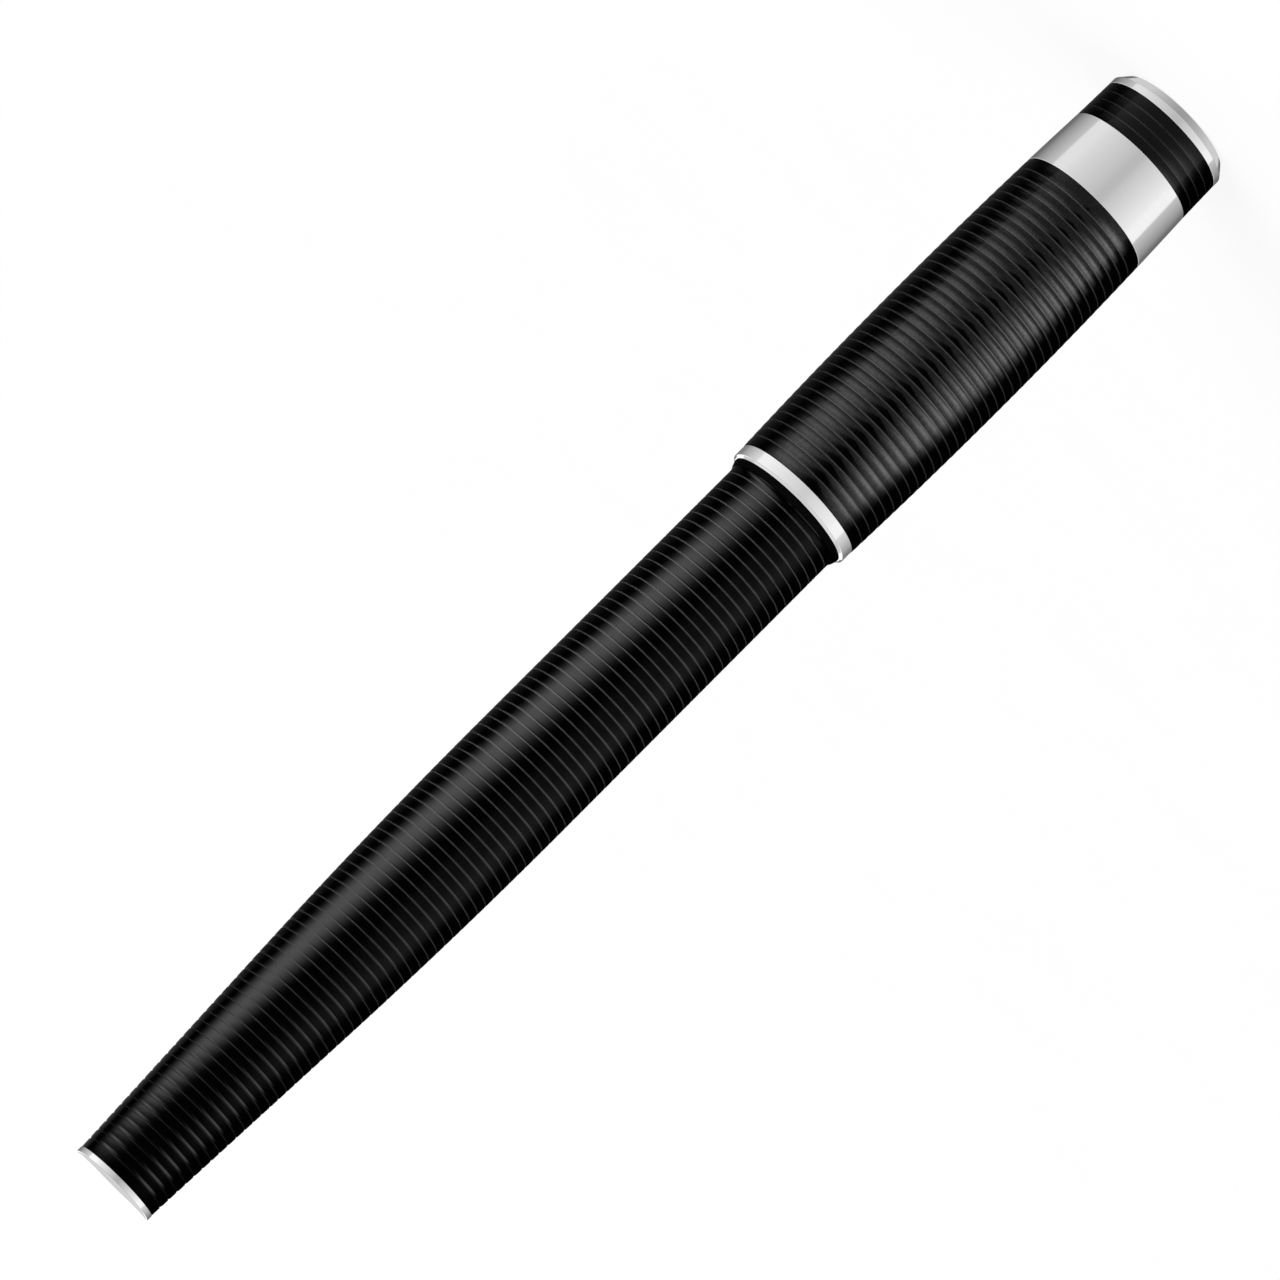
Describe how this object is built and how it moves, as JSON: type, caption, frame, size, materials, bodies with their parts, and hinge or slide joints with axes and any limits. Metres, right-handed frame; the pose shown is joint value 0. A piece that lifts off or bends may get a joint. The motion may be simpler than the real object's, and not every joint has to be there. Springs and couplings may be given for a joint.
{
  "type": "rollerball pen",
  "caption": "Capped rollerball pen with a ring-grooved black barrel and cap, bright metal band and rings, a screwed section and a sprung refill.",
  "frame": {"origin": "centre of the crown's flat face, on which the closed pen stands", "axes": "+Z along the pen from the crown to the tail, so the writing point faces -Z inside the cap; X and Y are alike, because every outer piece is turned about Z"},
  "size_m": [0.0146, 0.0146, 0.1397],
  "materials": {
    "black_lacquer": "satin",
    "chrome": "polished",
    "steel": "satin",
    "nickel": "polished",
    "brass": "satin",
    "white_plastic": "satin",
    "black_plastic": "satin",
    "ink_fibre": "matte",
    "rubber": "matte"
  },
  "bodies": {
    "cap": {"cap_crown": "chrome", "crown_screw": "steel", "cap_collar": "black_lacquer", "cap_band": "chrome", "cap_tube": "black_lacquer", "cap_lip_ring": "chrome", "inner_cap": "black_plastic"},
    "catch": {"catch_ring": "chrome"},
    "section": {"grip_section": "black_lacquer", "section_nose": "chrome", "section_bush": "brass", "section_o_ring": "rubber"},
    "refill": {"refill_point": "nickel", "refill_holder": "white_plastic", "refill_tube": "steel", "refill_feed": "white_plastic", "ink_reservoir": "ink_fibre", "refill_end_plug": "black_plastic"},
    "ball": {"refill_ball": "steel"},
    "spring": {"refill_spring": "steel", "spring_seat": "brass"},
    "barrel": {"barrel_tube": "black_lacquer", "barrel_bush": "brass", "tail_plug": "brass", "tail_cap": "chrome"}
  },
  "joints": [
    {"name": "pen_draw", "type": "slide", "parent": "cap", "child": "catch", "axis": [0, 0, 1], "range_m": [0, 0.055]},
    {"name": "pen_turn", "type": "hinge", "parent": "catch", "child": "section", "pos_m": [0, 0, 0.046], "axis": [0, 0, 1], "continuous": true},
    {"name": "refill_slide", "type": "slide", "parent": "section", "child": "refill", "axis": [0, 0, 1], "range_m": [0, 0.0008], "stiffness_N_per_m": 200, "springref_m": -0.0025, "deforming": ["refill_spring"]},
    {"name": "ball_roll", "type": "hinge", "parent": "refill", "child": "ball", "pos_m": [0, 0, 0.0125], "axis": [1, 0, 0], "continuous": true},
    {"name": "barrel_advance", "type": "slide", "parent": "section", "child": "spring", "axis": [0, 0, 1], "range_m": [0, 0.0045], "deforming": ["refill_spring"]},
    {"name": "barrel_turn", "type": "hinge", "parent": "spring", "child": "barrel", "pos_m": [0, 0, 0.0565], "axis": [0, 0, 1], "range_deg": [0, 2160]}
  ],
  "couplings": [
    {"joint": "barrel_turn", "follows": "barrel_advance", "rad_per_m": 8377.6}
  ]
}
